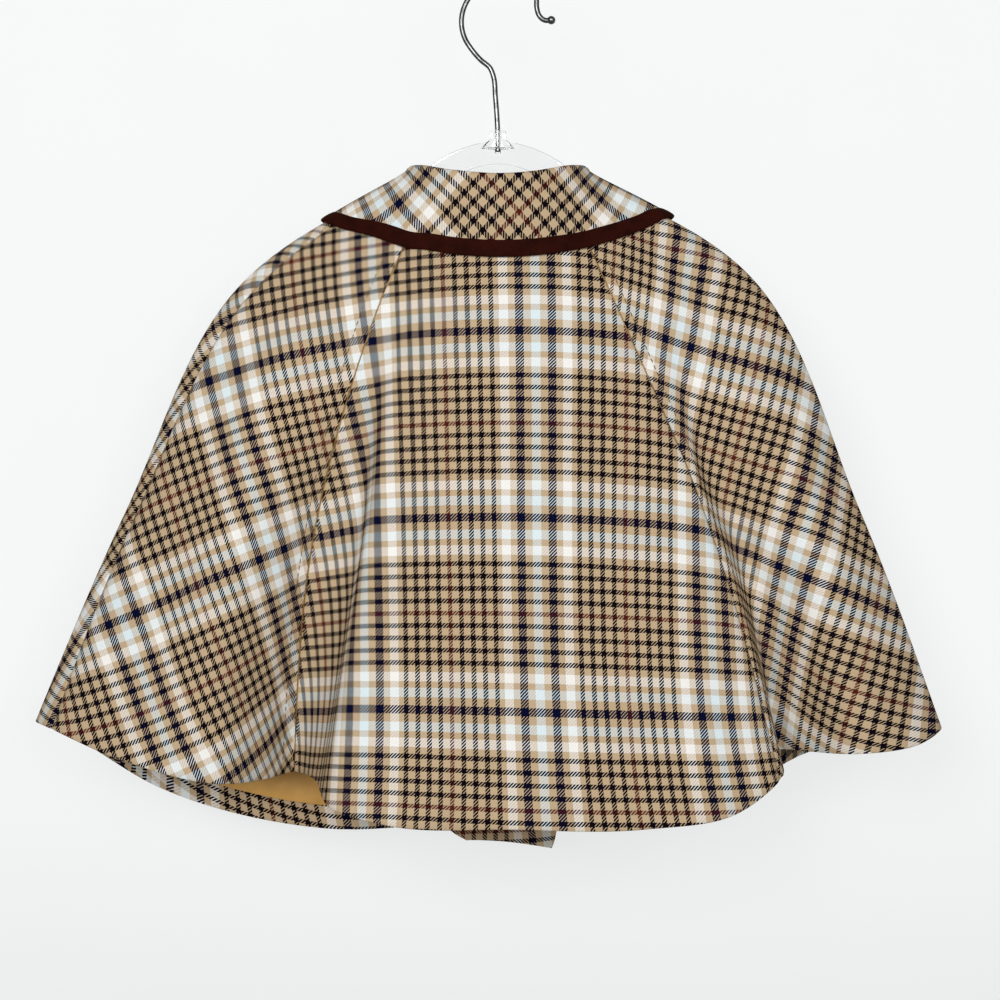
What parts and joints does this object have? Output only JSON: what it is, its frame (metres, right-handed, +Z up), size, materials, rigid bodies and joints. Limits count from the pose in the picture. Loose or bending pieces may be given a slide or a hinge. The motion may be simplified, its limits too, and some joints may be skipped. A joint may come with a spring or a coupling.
{
  "type": "cape on a hanger",
  "caption": "Child's short flared plaid cape with a turned-down collar, velvet edge trim and satin lining, hanging from a clear hanger with a wire hook.",
  "frame": {"origin": "inside top of the hanger's hook, where it rests on a rail", "axes": "+Z up; the cape's back faces -Y and its front opening faces +Y; +X is to the right as seen from behind the cape, towards the wearer's right shoulder"},
  "size_m": [0.521, 0.1112, 0.5087],
  "materials": {
    "plaid_twill": "woven check twill",
    "lining_satin": "satin",
    "trim_velvet": "velvet",
    "button": "polished",
    "clear_plastic": "clear",
    "steel_wire": "bright"
  },
  "bodies": {
    "root": {"back": "plaid_twill", "side_back_left": "plaid_twill", "side_back_right": "plaid_twill", "front_left": "plaid_twill", "front_right": "plaid_twill", "collar": "plaid_twill", "front_placket": "plaid_twill", "lining_back": "lining_satin", "lining_side_back_left": "lining_satin", "lining_side_back_right": "lining_satin", "lining_front_left": "lining_satin", "lining_front_right": "lining_satin", "collar_trim": "trim_velvet", "button_1": "button", "button_2": "button", "button_3": "button", "hanger_body": "clear_plastic", "hanger_hook": "steel_wire"}
  },
  "joints": []
}
